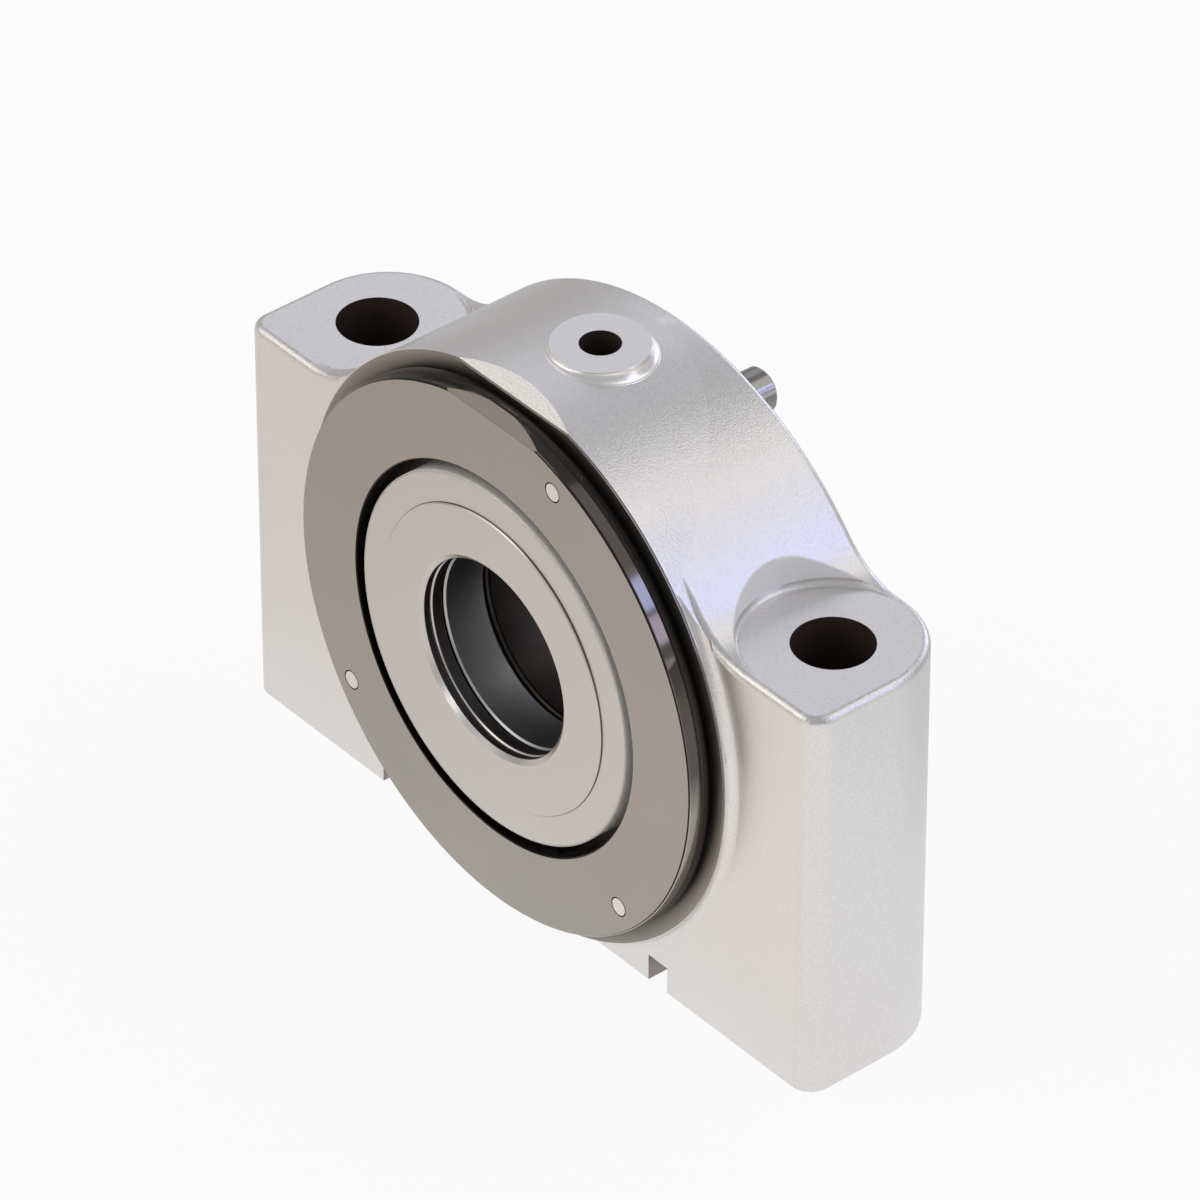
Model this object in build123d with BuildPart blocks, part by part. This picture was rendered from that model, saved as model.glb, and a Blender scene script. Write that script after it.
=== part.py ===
from build123d import *
import math
import os

os.makedirs("parts", exist_ok=True)

# All sizes are millimetres. X runs across the two feet, Y along the shaft with the front at the
# negative end, and Z up. The base rests on Z = 0 and the bolt holes stand on Y = 0.

# Shaft line
shaft_height = 63.5
shaft_radius = 22.5
shaft_axis = Axis((0, 0, shaft_height), (0, 1, 0))

# Cast body: two feet, and a crown whose round top has its centre a little under the shaft.
# In front the crown rises to the barrel by a long shallow cone about the shaft.
body_front = -21.0
body_back = 21.0
block_half_width = 90.75
foot_rise = 32.3
block_top = shaft_height + foot_rise
front_corner = 5.0
back_corner = 20.0
neck_radius = 20.0
edge_round = 1.75
barrel_front = -23.0
barrel_radius = 66.4
cone_drop = 2.7
cove_radius = body_front - barrel_front
crown_step = 5.4
crown_radius = barrel_radius + crown_step
crown_drop = 7.9
crown_centre = shaft_height - crown_drop
crown_top = crown_centre + crown_radius

# Sloping flat milled over the front rim, through this height at this place along Y
flat_depth = 5.95
flat_height = shaft_height + barrel_radius - flat_depth
flat_front = -29.05
flat_slope = 0.6
flat_reach = 15.0

# Feet
bolt_hole_radius = 8.75
bolt_spacing = 145.0
spot_face_radius = 20.0
spot_face_round = 1.2
slot_width = 6.0
slot_height = 6.5
slot_spacing = 87.0

# Grease port on the crown
boss_height = 2.6
boss_round = 0.8
boss_top = crown_top + boss_height
boss_radius = 10.5
port_radius = 4.4
port_depth = 14.0
channel_radius = 2.0

# Grooved ring in front of the barrel
ring_front = -29.0
ring_inner_radius = 44.5
rim_step = 4.0
rim_radius = barrel_radius - rim_step
rim_back = -26.0
rim_chamfer = 0.45
groove_depth = 1.4
groove_radius = rim_radius - groove_depth
groove_round = 1.5
lip_radius = barrel_radius - 0.25
lip_thickness = 0.4
bore_edge = 0.3

# Dowel pins
pin_inset = 5.4
pin_circle_radius = rim_radius - pin_inset
pin_radius = 2.28
pin_angles = (70.0, 215.0, 315.0)
pin_depth = 9.0
rear_pin_radius = 5.0
rear_pin_length = 6.0
rear_pin_chamfer = 0.7
shank_radius = 4.0
shank_length = 12.0

# Bearing, a double row of balls
bearing_front = -12.0
bearing_width = 23.0
bearing_back = bearing_front + bearing_width
bearing_centre = bearing_front + bearing_width / 2
bearing_outer_radius = 42.5
bearing_corner = 1.1
ball_circle_radius = (shaft_radius + bearing_outer_radius) / 2
ball_radius = 4.7625
ball_count = 13
row_offset = 5.4
running_clearance = 0.05
track_radius = 5.0
outer_shoulder_radius = ball_circle_radius + 2.9
inner_shoulder_radius = ball_circle_radius - 2.9
oil_groove_width = 5.5
oil_groove_depth = 0.8
oil_hole_radius = 1.0
oil_hole_count = 3

# Moulded ball cages
cage_inner_radius = ball_circle_radius - 1.8
cage_outer_radius = ball_circle_radius + 1.8
cage_web_reach = 5.9
cage_prong_reach = 1.3
pocket_clearance = 0.1

# Turning parts on the shaft
sleeve_wall = 5.0
sleeve_radius = shaft_radius + sleeve_wall
sleeve_front = -23.2
relief_radius = shaft_radius + 1.5
relief_length = 1.0
insert_radius = 35.1
insert_front = -29.5
insert_back = -26.9
mouth_radius = shaft_radius + 1.1
mouth_depth = 0.85
washer_back = -23.65
washer_chamfer = 0.5
joint_chamfer = 0.4
disc_radius = ring_inner_radius - 2.4
disc_front = -29.0
disc_back = -21.5
disc_edge = 0.4

# Shaft seals
seal_width = 7.0
seal_shell = 1.0
seal_flange_radius = sleeve_radius + 3.5
bond_height = 2.0
spring_radius = 0.8
spring_circle_radius = sleeve_radius + 2.8
spring_offset = 4.8
lip_root_height = 1.35

# Seats inside the body
recess_depth = 3.0
front_seal_face = barrel_front + recess_depth
front_seal_radius = 40.0
shoulder_radius = 37.5
rear_seal_face = 20.8
snap_groove_radius = bearing_outer_radius + 1.75
snap_groove_width = 2.6

# Retaining ring behind the bearing
retainer_outer_radius = snap_groove_radius - 0.15
retainer_inner_radius = bearing_outer_radius - 2.5
retainer_thickness = 2.5
retainer_gap_degrees = 22.0
lug_radius = 3.0
lug_circle_radius = retainer_outer_radius - 3.5
lug_degrees = 16.5
lug_hole_radius = 1.25

# How close a corner lies to a plane to count as on it
touch = 0.01


# A closed outline beside the shaft, from pairs of place along Y and radius
def section(points):
    with BuildSketch() as outline:
        with BuildLine():
            Polyline(*[(y, shaft_height + radius) for y, radius in points], close=True)
        make_face()
    return outline.sketch


# The same for a plain ring with square corners
def ring_section(front, back, inner, outer):
    return section([(front, inner), (back, inner), (back, outer), (front, outer)])


# A ring turned about the shaft line from such an outline
def turned(outline):
    with BuildPart() as ring:
        with BuildSketch(Plane.YZ):
            add(outline)
        revolve(axis=shaft_axis)
    return ring.part


# A point on a circle round the shaft, seen from the front
def shaft_point(radius, degrees):
    angle = math.radians(degrees)
    return (radius * math.cos(angle), shaft_height + radius * math.sin(angle))


# The outline of the body seen from the front: feet, crown and the hollow necks between them
def body_outline():
    with BuildSketch() as outline:
        with Locations((0, crown_centre)):
            Circle(crown_radius)
        with Locations((0, -block_top / 2)):
            Rectangle(4 * block_half_width, block_top, mode=Mode.SUBTRACT)
        with Locations((0, block_top / 2)):
            Rectangle(2 * block_half_width, block_top)
        necks = outline.vertices().filter_by(
            lambda v: abs(v.Y - block_top) < touch and abs(v.X) < crown_radius
        )
        fillet(necks, neck_radius)
    return outline.sketch


# The wedge of space above the sloping flat
def flat_wedge():
    low = flat_height - flat_slope * flat_reach
    high = flat_height + flat_slope * flat_reach
    with BuildPart() as wedge:
        with BuildSketch(Plane.YZ):
            with BuildLine():
                Polyline(
                    (flat_front - flat_reach, low),
                    (flat_front + flat_reach, high),
                    (flat_front - flat_reach, high),
                    close=True,
                )
            make_face()
        extrude(amount=barrel_radius, both=True)
    return wedge.part


# Cove between the barrel and the front of the feet, kept within the outline of the body
with BuildPart() as barrel_cove:
    with BuildSketch(Plane.YZ):
        with BuildLine():
            cove_head = (barrel_front, shaft_height + barrel_radius)
            cove_foot = (body_front, shaft_height + barrel_radius + cove_radius)
            Polyline(
                cove_head,
                (barrel_front, shaft_height + bearing_outer_radius),
                (body_front, shaft_height + bearing_outer_radius),
                cove_foot,
            )
            RadiusArc(cove_foot, cove_head, cove_radius)
        make_face()
    revolve(axis=shaft_axis)
    with BuildSketch(Plane.XZ.offset(-barrel_front)):
        add(body_outline())
    extrude(amount=-cove_radius, mode=Mode.INTERSECT)

with BuildPart() as housing:
    with BuildSketch(Plane.XZ.offset(-body_front)):
        add(body_outline())
    extrude(amount=body_front - body_back)

    # Rounded upright corners, smaller in front than behind
    with BuildSketch() as plan:
        with Locations((0, (body_front + body_back) / 2)):
            Rectangle(2 * block_half_width, body_back - body_front)
        fillet(plan.vertices().group_by(Axis.Y)[0], front_corner)
        fillet(plan.vertices().group_by(Axis.Y)[-1], back_corner)
    extrude(amount=boss_top, mode=Mode.INTERSECT)

    # Every upper outer edge is rounded, over the feet and along the crown
    upper_edges = housing.edges().filter_by(
        lambda e: e.bounding_box().min.Z > block_top - touch
        and (
            abs(e.center().Y - body_front) < touch
            or abs(e.center().Y - body_back) < touch
            or abs(e.center().X) > block_half_width - back_corner / 2
        )
    )
    fillet(upper_edges, edge_round)

    # Barrel standing proud of the feet, with the cone that runs back from it along the crown
    with BuildSketch(Plane.YZ):
        with BuildLine():
            cone_end = (body_back - edge_round, shaft_height - barrel_radius + cone_drop)
            cone_foot = (body_back, shaft_height - barrel_radius + cone_drop + edge_round)
            Polyline(
                cone_end,
                (barrel_front, shaft_height - barrel_radius),
                (barrel_front, shaft_height - bearing_outer_radius),
                (body_back, shaft_height - bearing_outer_radius),
                cone_foot,
            )
            RadiusArc(cone_foot, cone_end, edge_round)
        make_face()
    revolve(axis=shaft_axis)
    add(barrel_cove.part)
    split(bisect_by=Plane.XY, keep=Keep.TOP)

    # Spot faces for the bolt heads, cut into the necks with a rounded foot
    for side in (-1, 1):
        spot_middle = side * bolt_spacing / 2
        with BuildSketch(Plane.XZ):
            with BuildLine():
                foot_start = (spot_middle + spot_face_radius - spot_face_round, block_top)
                foot_end = (spot_middle + spot_face_radius, block_top + spot_face_round)
                Polyline(
                    foot_end,
                    (spot_middle + spot_face_radius, boss_top),
                    (spot_middle, boss_top),
                    (spot_middle, block_top),
                    foot_start,
                )
                RadiusArc(foot_start, foot_end, -spot_face_round)
            make_face()
        revolve(axis=Axis((spot_middle, 0, 0), (0, 0, 1)), mode=Mode.SUBTRACT)

    # Grease boss with a rounded foot
    with Locations((0, 0, boss_top)):
        Cylinder(boss_radius, port_depth, align=(Align.CENTER, Align.CENTER, Align.MAX))
    boss_foot = housing.edges().filter_by(
        lambda e: crown_top - 2 * boss_height < e.center().Z < boss_top - touch
        and abs(math.hypot((e @ 0.3).X, (e @ 0.3).Y) - boss_radius) < touch
        and e.geom_type != GeomType.LINE
    )
    fillet(boss_foot, boss_round)

    # Grease port and the channel down to the bearing
    with Locations((0, 0, boss_top)):
        Hole(port_radius, depth=port_depth)
        Hole(channel_radius, depth=boss_top - shaft_height)

    # Bolt holes and the slots under the base
    with Locations((bolt_spacing / 2, 0, block_top), (-bolt_spacing / 2, 0, block_top)):
        Hole(bolt_hole_radius, depth=block_top)
    with BuildSketch(Plane.XZ):
        with Locations((slot_spacing / 2, slot_height / 2), (-slot_spacing / 2, slot_height / 2)):
            Rectangle(slot_width, slot_height)
    extrude(amount=body_back + abs(barrel_front), both=True, mode=Mode.SUBTRACT)

    # Seats for the hub, the seals, the bearing and its retaining ring
    groove_back = bearing_back + snap_groove_width
    seats = [
        (barrel_front, 0),
        (barrel_front, ring_inner_radius),
        (front_seal_face, ring_inner_radius),
        (front_seal_face, front_seal_radius),
        (front_seal_face + seal_width, front_seal_radius),
        (front_seal_face + seal_width, shoulder_radius),
        (bearing_front, shoulder_radius),
        (bearing_front, bearing_outer_radius),
        (bearing_back, bearing_outer_radius),
        (bearing_back, snap_groove_radius),
        (groove_back, snap_groove_radius),
        (groove_back, bearing_outer_radius),
        (body_back, bearing_outer_radius),
        (body_back, 0),
    ]
    with BuildSketch(Plane.YZ):
        add(section(seats))
    revolve(axis=shaft_axis, mode=Mode.SUBTRACT)

    # Holes for the dowel pins
    with BuildSketch(Plane.XZ.offset(-barrel_front)):
        with Locations(*[shaft_point(pin_circle_radius, angle) for angle in pin_angles]):
            Circle(pin_radius)
    extrude(amount=-pin_depth, mode=Mode.SUBTRACT)
    with BuildSketch(Plane.XZ.offset(-body_back)):
        with Locations(shaft_point(pin_circle_radius, pin_angles[0])):
            Circle(shank_radius)
    extrude(amount=shank_length, mode=Mode.SUBTRACT)

    add(flat_wedge(), mode=Mode.SUBTRACT)
housing.part.label = "housing"

with BuildPart() as grooved_ring:
    with BuildSketch(Plane.YZ) as ring_profile:
        with BuildLine():
            outline = [
                (ring_front, ring_inner_radius + bore_edge),
                (ring_front, rim_radius - rim_chamfer),
                (ring_front + rim_chamfer, rim_radius),
                (rim_back, rim_radius),
                (rim_back + bore_edge, groove_radius),
                (barrel_front - lip_thickness, groove_radius),
                (barrel_front - lip_thickness, lip_radius),
                (barrel_front, lip_radius),
                (barrel_front, ring_inner_radius),
                (ring_front + bore_edge, ring_inner_radius),
            ]
            Polyline(*[(y, shaft_height + radius) for y, radius in outline], close=True)
        make_face()
        inner_corner = ring_profile.vertices().filter_by(
            lambda v: abs(v.X - barrel_front + lip_thickness) < touch
            and abs(v.Y - shaft_height - groove_radius) < touch
        )
        fillet(inner_corner, groove_round)
    revolve(axis=shaft_axis)
    with BuildSketch(Plane.XZ.offset(-ring_front)):
        with Locations(*[shaft_point(pin_circle_radius, angle) for angle in pin_angles]):
            Circle(pin_radius)
    extrude(amount=ring_front - barrel_front, mode=Mode.SUBTRACT)
    split(bisect_by=Plane.XY, keep=Keep.TOP)
    add(flat_wedge(), mode=Mode.SUBTRACT)
grooved_ring.part.label = "grooved_ring"

with BuildPart() as ring_pins:
    with BuildSketch(Plane.XZ.offset(-ring_front)):
        with Locations(*[shaft_point(pin_circle_radius, angle) for angle in pin_angles]):
            Circle(pin_radius)
    extrude(amount=ring_front - barrel_front - pin_depth)
    chamfer(ring_pins.edges().group_by(Axis.Y)[0], bore_edge)
ring_pins.part.label = "ring_pins"

with BuildPart() as rear_pin:
    with BuildSketch(Plane.XZ.offset(-body_back)):
        with Locations(shaft_point(pin_circle_radius, pin_angles[0])):
            Circle(rear_pin_radius)
    extrude(amount=-rear_pin_length)
    chamfer(rear_pin.edges().group_by(Axis.Y)[-1], rear_pin_chamfer)
    with BuildSketch(Plane.XZ.offset(-body_back)):
        with Locations(shaft_point(pin_circle_radius, pin_angles[0])):
            Circle(shank_radius)
    extrude(amount=shank_length)
rear_pin.part.label = "rear_pin"

row_places = {"front": bearing_centre - row_offset, "rear": bearing_centre + row_offset}

with BuildPart() as outer_race:
    with BuildSketch(Plane.YZ) as outer_profile:
        add(ring_section(bearing_front, bearing_back, outer_shoulder_radius, bearing_outer_radius))
        chamfer(outer_profile.vertices().group_by(Axis.Y)[-1], bearing_corner)
        outer_track = shaft_height + ball_circle_radius + ball_radius + running_clearance
        with Locations(*[(y, outer_track - track_radius) for y in row_places.values()]):
            Circle(track_radius, mode=Mode.SUBTRACT)
        with Locations((bearing_centre, shaft_height + bearing_outer_radius)):
            Rectangle(oil_groove_width, 2 * oil_groove_depth, mode=Mode.SUBTRACT)
    revolve(axis=shaft_axis)
    for turn in range(oil_hole_count):
        oil_angle = 90 + turn * 360 / oil_hole_count
        start_x, start_z = shaft_point(bearing_outer_radius, oil_angle)
        oil_plane = Plane(
            origin=(start_x, bearing_centre, start_z),
            z_dir=(start_x, 0, start_z - shaft_height),
        )
        with BuildSketch(oil_plane):
            Circle(oil_hole_radius)
        extrude(amount=outer_shoulder_radius - bearing_outer_radius - 2, mode=Mode.SUBTRACT)
outer_race.part.label = "outer_race"

with BuildPart() as inner_race:
    with BuildSketch(Plane.YZ) as inner_profile:
        add(ring_section(bearing_front, bearing_back, shaft_radius, inner_shoulder_radius))
        fillet(inner_profile.vertices().group_by(Axis.Y)[0], bearing_corner)
        inner_track = shaft_height + ball_circle_radius - ball_radius - running_clearance
        with Locations(*[(y, inner_track + track_radius) for y in row_places.values()]):
            Circle(track_radius, mode=Mode.SUBTRACT)
    revolve(axis=shaft_axis)
inner_race.part.label = "inner_race"


# One row of balls, as separate solids
def ball_row(place):
    with BuildPart() as row:
        with Locations(Plane(origin=(0, place, shaft_height), z_dir=(0, 1, 0))):
            with PolarLocations(ball_circle_radius, ball_count):
                Sphere(ball_radius)
    return row.part


# A moulded cage: a ring on the outer side of the row, with a pocket for each ball
def ball_cage(place, outward):
    web = place + outward * cage_web_reach
    prongs = place - outward * cage_prong_reach
    with BuildPart() as cage:
        add(turned(ring_section(web, prongs, cage_inner_radius, cage_outer_radius)))
        with Locations(Plane(origin=(0, place, shaft_height), z_dir=(0, 1, 0))):
            with PolarLocations(ball_circle_radius, ball_count):
                Sphere(ball_radius + pocket_clearance, mode=Mode.SUBTRACT)
    return cage.part


front_balls = ball_row(row_places["front"])
front_balls.label = "front_balls"
rear_balls = ball_row(row_places["rear"])
rear_balls.label = "rear_balls"
front_cage = ball_cage(row_places["front"], -1)
front_cage.label = "front_cage"
rear_cage = ball_cage(row_places["rear"], 1)
rear_cage.label = "rear_cage"

with BuildPart() as retaining_ring:
    with BuildSketch(Plane.XZ.offset(-bearing_back)):
        with Locations((0, shaft_height)):
            Circle(retainer_outer_radius)
            Circle(retainer_inner_radius, mode=Mode.SUBTRACT)
        lug_places = [shaft_point(lug_circle_radius, 270 + side * lug_degrees) for side in (-1, 1)]
        with Locations(*lug_places):
            Circle(lug_radius)
        with BuildLine():
            gap_corners = [
                shaft_point(2 * lug_circle_radius, 270 + side * retainer_gap_degrees / 2)
                for side in (-1, 1)
            ]
            Polyline((0, shaft_height), *gap_corners, close=True)
        make_face(mode=Mode.SUBTRACT)
        with Locations(*lug_places):
            Circle(lug_hole_radius, mode=Mode.SUBTRACT)
    extrude(amount=-retainer_thickness)
retaining_ring.part.label = "retaining_ring"


# Pressed steel shell of a shaft seal, open towards the bearing
def seal_case(face, inward, seat_radius):
    flange_back = face + inward * seal_shell
    back = face + inward * seal_width
    outline = section(
        [
            (face, seal_flange_radius),
            (face, seat_radius),
            (back, seat_radius),
            (back, seat_radius - seal_shell),
            (flange_back, seat_radius - seal_shell),
            (flange_back, seal_flange_radius),
        ]
    )
    return turned(outline)


# Rubber of a shaft seal: a sealing lip towards the bearing and a dust lip outside
def seal_lip(face, inward):
    lip_radius_inside = sleeve_radius + running_clearance
    root_radius = lip_radius_inside + lip_root_height
    points = [
        (0, seal_flange_radius),
        (seal_shell, seal_flange_radius),
        (seal_shell, seal_flange_radius + bond_height),
        (seal_shell + spring_radius / 2, seal_flange_radius + bond_height),
        (seal_shell + spring_radius, spring_circle_radius),
        (spring_offset + 1.5 * spring_radius, spring_circle_radius - spring_radius / 3),
        (spring_offset + 2 * spring_radius, root_radius + spring_radius / 2),
        (spring_offset, lip_radius_inside),
        (spring_offset - lip_root_height - spring_radius, root_radius),
        (seal_shell + spring_radius / 2, root_radius),
        (seal_shell / 2, lip_radius_inside),
        (0, lip_radius_inside + lip_root_height / 2),
    ]
    with BuildPart() as lip:
        with BuildSketch(Plane.YZ):
            add(section([(face + inward * depth, radius) for depth, radius in points]))
            with Locations((face + inward * spring_offset, shaft_height + spring_circle_radius)):
                Circle(spring_radius, mode=Mode.SUBTRACT)
        revolve(axis=shaft_axis)
    return lip.part


# Garter spring that closes the sealing lip
def seal_spring(face, inward):
    with BuildPart() as spring:
        with BuildSketch(Plane.YZ):
            with Locations((face + inward * spring_offset, shaft_height + spring_circle_radius)):
                Circle(spring_radius)
        revolve(axis=shaft_axis)
    return spring.part


front_seal_case = seal_case(front_seal_face, 1, front_seal_radius)
front_seal_case.label = "front_seal_case"
front_seal_lip = seal_lip(front_seal_face, 1)
front_seal_lip.label = "front_seal_lip"
front_seal_spring = seal_spring(front_seal_face, 1)
front_seal_spring.label = "front_seal_spring"
rear_seal_case = seal_case(rear_seal_face, -1, bearing_outer_radius)
rear_seal_case.label = "rear_seal_case"
rear_seal_lip = seal_lip(rear_seal_face, -1)
rear_seal_lip.label = "rear_seal_lip"
rear_seal_spring = seal_spring(rear_seal_face, -1)
rear_seal_spring.label = "rear_seal_spring"

with BuildPart() as hub_disc:
    disc_section = [
        (disc_front, insert_radius),
        (disc_front, disc_radius - disc_edge),
        (disc_front + disc_edge, disc_radius),
        (disc_back, disc_radius),
        (disc_back, sleeve_radius),
        (washer_back, sleeve_radius),
        (washer_back, insert_radius),
    ]
    add(turned(section(disc_section)))
hub_disc.part.label = "hub_disc"

with BuildPart() as hub_insert:
    insert_section = [
        (insert_front, mouth_radius),
        (insert_front, insert_radius - bore_edge),
        (insert_front + bore_edge, insert_radius),
        (insert_back, insert_radius),
        (insert_back, shaft_radius + joint_chamfer),
        (insert_back - joint_chamfer, shaft_radius),
        (insert_front + mouth_depth, shaft_radius),
    ]
    add(turned(section(insert_section)))
hub_insert.part.label = "hub_insert"

with BuildPart() as locating_washer:
    washer_section = [
        (insert_back, shaft_radius + washer_chamfer),
        (insert_back, insert_radius),
        (washer_back, insert_radius),
        (washer_back, shaft_radius + joint_chamfer),
        (washer_back - joint_chamfer, shaft_radius),
        (insert_back + washer_chamfer, shaft_radius),
    ]
    add(turned(section(washer_section)))
locating_washer.part.label = "locating_washer"

with BuildPart() as front_sleeve:
    sleeve_section = [
        (sleeve_front, shaft_radius + joint_chamfer),
        (sleeve_front, sleeve_radius),
        (bearing_front, sleeve_radius),
        (bearing_front, relief_radius),
        (bearing_front - relief_length, relief_radius),
        (bearing_front - relief_length, shaft_radius),
        (sleeve_front + joint_chamfer, shaft_radius),
    ]
    add(turned(section(sleeve_section)))
front_sleeve.part.label = "front_sleeve"

with BuildPart() as rear_sleeve:
    rear_section = [
        (bearing_back, shaft_radius),
        (bearing_back, sleeve_radius),
        (rear_seal_face - joint_chamfer, sleeve_radius),
        (rear_seal_face, sleeve_radius - joint_chamfer),
        (rear_seal_face, shaft_radius + joint_chamfer),
        (rear_seal_face - joint_chamfer, shaft_radius),
    ]
    add(turned(section(rear_section)))
rear_sleeve.part.label = "rear_sleeve"

pieces = [
    housing.part,
    grooved_ring.part,
    ring_pins.part,
    rear_pin.part,
    outer_race.part,
    inner_race.part,
    front_balls,
    rear_balls,
    front_cage,
    rear_cage,
    retaining_ring.part,
    front_seal_case,
    front_seal_lip,
    front_seal_spring,
    rear_seal_case,
    rear_seal_lip,
    rear_seal_spring,
    hub_disc.part,
    hub_insert.part,
    locating_washer.part,
    front_sleeve.part,
    rear_sleeve.part,
]
for piece in pieces:
    export_step(piece, f"parts/{piece.label}.step")
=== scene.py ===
import math

import bmesh
import bpy
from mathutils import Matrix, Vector


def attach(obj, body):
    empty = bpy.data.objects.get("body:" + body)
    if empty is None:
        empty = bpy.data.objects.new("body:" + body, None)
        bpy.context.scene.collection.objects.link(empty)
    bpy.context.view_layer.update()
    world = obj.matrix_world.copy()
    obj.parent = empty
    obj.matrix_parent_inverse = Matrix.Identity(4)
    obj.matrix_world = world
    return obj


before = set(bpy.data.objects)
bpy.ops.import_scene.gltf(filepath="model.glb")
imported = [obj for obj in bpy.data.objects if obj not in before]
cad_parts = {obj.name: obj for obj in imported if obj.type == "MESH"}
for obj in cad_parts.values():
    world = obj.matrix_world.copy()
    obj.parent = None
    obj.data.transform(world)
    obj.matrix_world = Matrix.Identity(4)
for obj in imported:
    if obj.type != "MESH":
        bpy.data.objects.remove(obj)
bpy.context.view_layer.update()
print("frame loaded,", len(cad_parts), "nodes")

mm = 0.001
shaftHeight = 63.5 * mm  # the shaft line, straight over the origin
holesAcross = 72.5 * mm  # from the middle out to each bolt hole


# sRGB hex to the linear colour that the nodes take
def linear(hexColour):
    parts = [int(hexColour[i:i + 2], 16) / 255 for i in (1, 3, 5)]
    plain = [c / 12.92 if c <= 0.04045 else ((c + 0.055) / 1.055) ** 2.4 for c in parts]
    return (*plain, 1.0)


# One node with its settings. A setting that is another node's output is linked, and "stops"
# are the places and colours of a ramp. With an output's name or number, that output comes back.
def addNode(tree, kind, settings, output=None):
    node = tree.nodes.new(kind)
    for name, value in settings.items():
        if name == "stops":
            while len(node.color_ramp.elements) < len(value):
                node.color_ramp.elements.new(0.5)
            for element, (at, colour) in zip(node.color_ramp.elements, value):
                element.position = at
                element.color = linear(colour)
        elif isinstance(value, bpy.types.NodeSocket):
            tree.links.new(value, node.inputs[name])
        elif isinstance(name, int) or name in node.inputs:
            node.inputs[name].default_value = value
        else:
            setattr(node, name, value)
    return node if output is None else node.outputs[output]


# A new material; its shader's own sockets hold what is the same all over
def newFinish(name, metallic, look):
    finish = bpy.data.materials.new(name)
    finish.use_nodes = True
    tree = finish.node_tree
    tree.nodes.clear()
    shader = addNode(
        tree,
        "ShaderNodeBsdfPrincipled",
        {"Metallic": metallic, "Roughness": look["roughness"], "Base Color": linear(look["colour"])},
    )
    addNode(tree, "ShaderNodeOutputMaterial", {"Surface": shader.outputs[0]})
    finish.diffuse_color = linear(look["colour"])
    place = addNode(tree, "ShaderNodeTexCoord", {}, "Object")
    return finish, tree, shader, place


# Distance from the shaft line
def shaftDistance(tree, place):
    fromAxis = addNode(
        tree, "ShaderNodeVectorMath", {"operation": "SUBTRACT", 0: place, 1: (0, 0, shaftHeight)}, 0
    )
    flat = addNode(
        tree, "ShaderNodeVectorMath", {"operation": "MULTIPLY", 0: fromAxis, 1: (1, 0, 1)}, 0
    )
    return addNode(tree, "ShaderNodeVectorMath", {"operation": "LENGTH", 0: flat}, "Value")


# Blasted cast steel: satin, with a close grain that sparkles where the light grazes it. The faces
# that were milled afterwards are smoother, and the holes and the seat round the shaft are painted
# dark, as painted shade.
castLook = {
    "colour": "#e9e6e3",
    "shade": "#e2dfdd",  # slow patches in the skin of the casting
    "patch": 30 * mm,
    "roughness": 0.36,
    "roughSpan": 0.06,  # how far it goes up and down with the grain
    "grain": 0.5 * mm,  # blast grit is finer, this is as fine as the picture shows
    "grainDepth": 0.12 * mm,
    "grainStrength": 0.6,
    "pits": "#cdcbc9",  # the low spots between the grains
    "pitSpan": (0.65, 0.35),  # from where in the grain they show, to where they are deepest
    "pitShare": 0.4,
    # faces milled square to an axis, told by how near to 1 their normal is along it
    "milled": {"roughness": 0.3, "strength": 0.05, "front": 0.0005, "top": 0.0003},
    "millFeed": 0.35 * mm,  # spacing of the cutter's marks
    "millLength": 833 * mm,  # they run straight across the part
    # bolt holes, port and the bored seats round the shaft, painted dark as painted shade
    "holeShade": "#3f342e",
    "holes": {"radius": 8.8 * mm, "port": 4.45 * mm},
    "seat": {"radius": 44.6 * mm, "back": -18 * mm},
    # the slots under the base, painted darker inside as painted shadow
    "slots": {"across": 43.5 * mm, "half": 3.05 * mm, "height": 6.55 * mm, "colour": "#8f8781"},
    # the wall that a spot face leaves in the crown, painted lighter as painted light, and its rim,
    # which is broken by hand and catches the light
    "paintedLightWall": {"radius": 19.6 * mm, "reach": 0.55 * mm, "roughness": 0.8, "colour": "#ffffff"},
    "rim": {"radius": 20 * mm, "reach": 1.3 * mm, "above": 97.3 * mm, "round": 0.7 * mm},
}


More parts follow.
